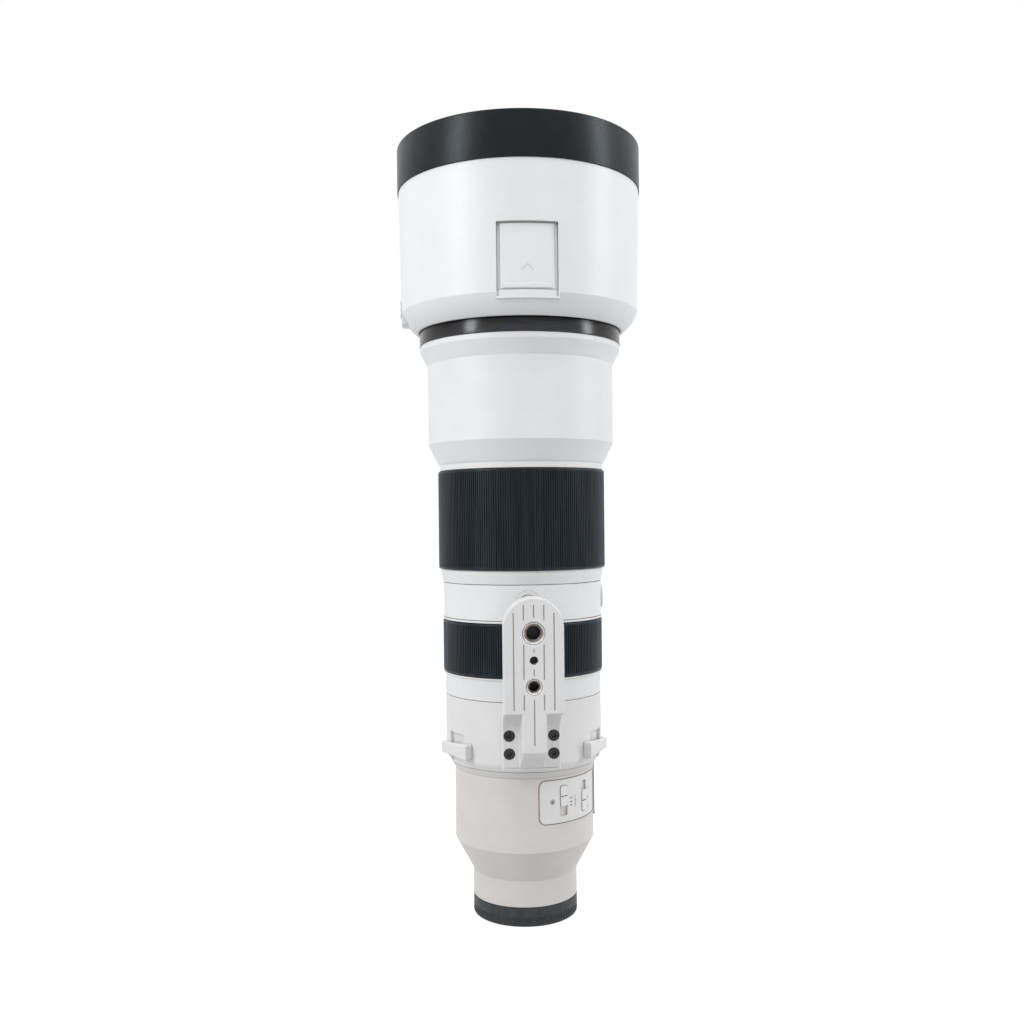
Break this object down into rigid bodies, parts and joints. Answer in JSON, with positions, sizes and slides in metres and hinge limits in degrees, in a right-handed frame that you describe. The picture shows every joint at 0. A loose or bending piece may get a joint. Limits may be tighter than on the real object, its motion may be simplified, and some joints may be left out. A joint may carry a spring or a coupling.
{
  "type": "camera zoom lens",
  "caption": "White super-telephoto zoom lens with ribbed rubber rings, a tripod collar with its foot, a hood with a sliding door, and a rear cap.",
  "frame": {"origin": "centre of the camera mount's flange face", "axes": "+Z along the optical axis towards the front of the lens, -Y towards the tripod foot, +X to the right as seen from the foot"},
  "size_m": [0.1446, 0.1573, 0.4534],
  "materials": {
    "shell_white": "fine-textured pale grey-white paint, satin",
    "shell_grey_white": "fine-textured warm grey-white paint, satin",
    "hood_white": "fine-textured pale grey-white paint, satin",
    "hood_black": "satin black paint",
    "flock": "black flock",
    "ring_black": "glossy black anodised",
    "inner_black": "matt black anodised",
    "cell_black": "glass-filled black plastic",
    "grip_rubber": "ribbed charcoal rubber",
    "button_grey": "soft grey rubberised plastic",
    "panel_white": "pale satin plastic",
    "switch_white": "white moulded plastic",
    "cap_plastic": "dark grey moulded plastic",
    "bare_metal": "bright turned stainless steel",
    "black_screw": "black oxide steel",
    "rail_steel": "ground steel",
    "cam_metal": "hard-anodised machined aluminium",
    "roller_brass": "turned brass",
    "lens_glass": "coated optical glass",
    "blade_steel": "blackened spring steel",
    "board_green": "green lacquered circuit board",
    "contact_black": "black plastic contact block"
  },
  "bodies": {
    "barrel": {"rear_barrel": "shell_grey_white", "mount_ring": "bare_metal", "mount_screws": "black_screw", "contact_block": "contact_black", "rear_cell": "cell_black", "rear_glass": "lens_glass", "main_board": "board_green", "rear_chassis": "cell_black", "focus_rods": "rail_steel", "stabiliser_frame": "cell_black", "iris_housing": "cell_black", "iris_blades": "blade_steel", "main_barrel": "inner_black", "guide_barrel": "inner_black", "fixed_band": "shell_white", "mid_barrel": "shell_white", "hold_bezels": "panel_white", "front_barrel": "shell_white", "front_cell": "inner_black", "front_glasses": "lens_glass", "front_retainer": "ring_black", "front_ring": "ring_black", "switch_panel_a": "panel_white", "switch_panel_b": "panel_white", "panel_screws": "black_screw"},
    "hood": {"hood_shell": "hood_white", "hood_rim": "hood_black", "hood_liner": "flock", "hood_door_guide": "hood_black"},
    "hood_door": {"hood_door": "hood_white"},
    "hood_lock": {"hood_lock_button": "hood_white"},
    "zoom": {"zoom_ring": "shell_white", "zoom_grip": "grip_rubber", "zoom_key": "rail_steel", "cam_barrel": "cam_metal"},
    "zoom_group_front": {"zoom_cell_front": "cell_black", "zoom_glass_front": "lens_glass", "zoom_rollers_front": "roller_brass"},
    "zoom_group_rear": {"zoom_cell_rear": "cell_black", "zoom_glass_rear": "lens_glass", "zoom_rollers_rear": "roller_brass"},
    "focus": {"focus_ring": "shell_white", "focus_grip": "grip_rubber"},
    "focus_group": {"focus_cell": "cell_black", "focus_glass": "lens_glass"},
    "stabiliser": {"stabiliser_cell": "cell_black", "stabiliser_glass": "lens_glass"},
    "collar": {"collar_ring": "shell_white", "foot": "shell_white", "foot_screws": "black_screw", "thread_bushes": "bare_metal"},
    "collar_lock": {"collar_knob": "cap_plastic"},
    "hold_foot": {"hold_button_foot": "button_grey"},
    "hold_side": {"hold_button_side": "button_grey"},
    "hold_top": {"hold_button_top": "button_grey"},
    "switch_focus_mode": {"focus_mode_switch": "switch_white"},
    "switch_focus_limit": {"focus_limit_switch": "switch_white"},
    "switch_stabiliser": {"stabiliser_switch": "switch_white"},
    "switch_stabiliser_mode": {"stabiliser_mode_switch": "switch_white"},
    "cap": {"rear_cap": "cap_plastic"}
  },
  "joints": [
    {"name": "hood_turn", "type": "hinge", "parent": "barrel", "child": "hood", "pos_m": [0, 0, 0], "axis": [0, 0, 1], "range_deg": [0, 60]},
    {"name": "hood_door_slide", "type": "slide", "parent": "hood", "child": "hood_door", "axis": [0, 0, 1], "range_m": [0, 0.022]},
    {"name": "hood_lock_press", "type": "slide", "parent": "hood", "child": "hood_lock", "axis": [1, 0, 0], "range_m": [0, 0.0006], "stiffness_N_per_m": 400},
    {"name": "zoom_turn", "type": "hinge", "parent": "barrel", "child": "zoom", "pos_m": [0, 0, 0], "axis": [0, 0, 1], "range_deg": [0, 75]},
    {"name": "zoom_front_slide", "type": "slide", "parent": "barrel", "child": "zoom_group_front", "axis": [0, 0, 1], "range_m": [-0.05, 0]},
    {"name": "zoom_rear_slide", "type": "slide", "parent": "barrel", "child": "zoom_group_rear", "axis": [0, 0, 1], "range_m": [0, 0.02]},
    {"name": "focus_turn", "type": "hinge", "parent": "barrel", "child": "focus", "pos_m": [0, 0, 0], "axis": [0, 0, 1], "continuous": true},
    {"name": "focus_slide", "type": "slide", "parent": "barrel", "child": "focus_group", "axis": [0, 0, 1], "range_m": [0, 0.022]},
    {"name": "stabiliser_shift", "type": "slide", "parent": "barrel", "child": "stabiliser", "axis": [1, 0, 0], "range_m": [-0.0012, 0.0012]},
    {"name": "collar_turn", "type": "hinge", "parent": "barrel", "child": "collar", "pos_m": [0, 0, 0], "axis": [0, 0, 1], "continuous": true},
    {"name": "collar_lock_turn", "type": "hinge", "parent": "collar", "child": "collar_lock", "pos_m": [0, 0.0496, 0.09885], "axis": [0, 1, 0], "range_deg": [0, 270]},
    {"name": "hold_foot_press", "type": "slide", "parent": "barrel", "child": "hold_foot", "axis": [0, 1, 0], "range_m": [0, 0.0008], "stiffness_N_per_m": 400},
    {"name": "hold_side_press", "type": "slide", "parent": "barrel", "child": "hold_side", "axis": [-1, 0, 0], "range_m": [0, 0.0008], "stiffness_N_per_m": 400},
    {"name": "hold_top_press", "type": "slide", "parent": "barrel", "child": "hold_top", "axis": [0, -1, 0], "range_m": [0, 0.0008], "stiffness_N_per_m": 400},
    {"name": "focus_mode_switch_slide", "type": "slide", "parent": "barrel", "child": "switch_focus_mode", "axis": [0, 0, 1], "range_m": [-0.0054, 0]},
    {"name": "focus_limit_switch_slide", "type": "slide", "parent": "barrel", "child": "switch_focus_limit", "axis": [0, 0, 1], "range_m": [0, 0.0054]},
    {"name": "stabiliser_switch_slide", "type": "slide", "parent": "barrel", "child": "switch_stabiliser", "axis": [0, 0, 1], "range_m": [-0.0054, 0]},
    {"name": "stabiliser_mode_switch_slide", "type": "slide", "parent": "barrel", "child": "switch_stabiliser_mode", "axis": [0, 0, 1], "range_m": [0, 0.0054]},
    {"name": "rear_cap_turn", "type": "hinge", "parent": "barrel", "child": "cap", "pos_m": [0, 0, 0], "axis": [0, 0, 1], "range_deg": [-60, 0]}
  ],
  "couplings": [
    {"joint": "zoom_front_slide", "follows": "zoom_turn", "m_per_rad": -0.038197},
    {"joint": "zoom_rear_slide", "follows": "zoom_turn", "m_per_rad": 0.015279}
  ]
}
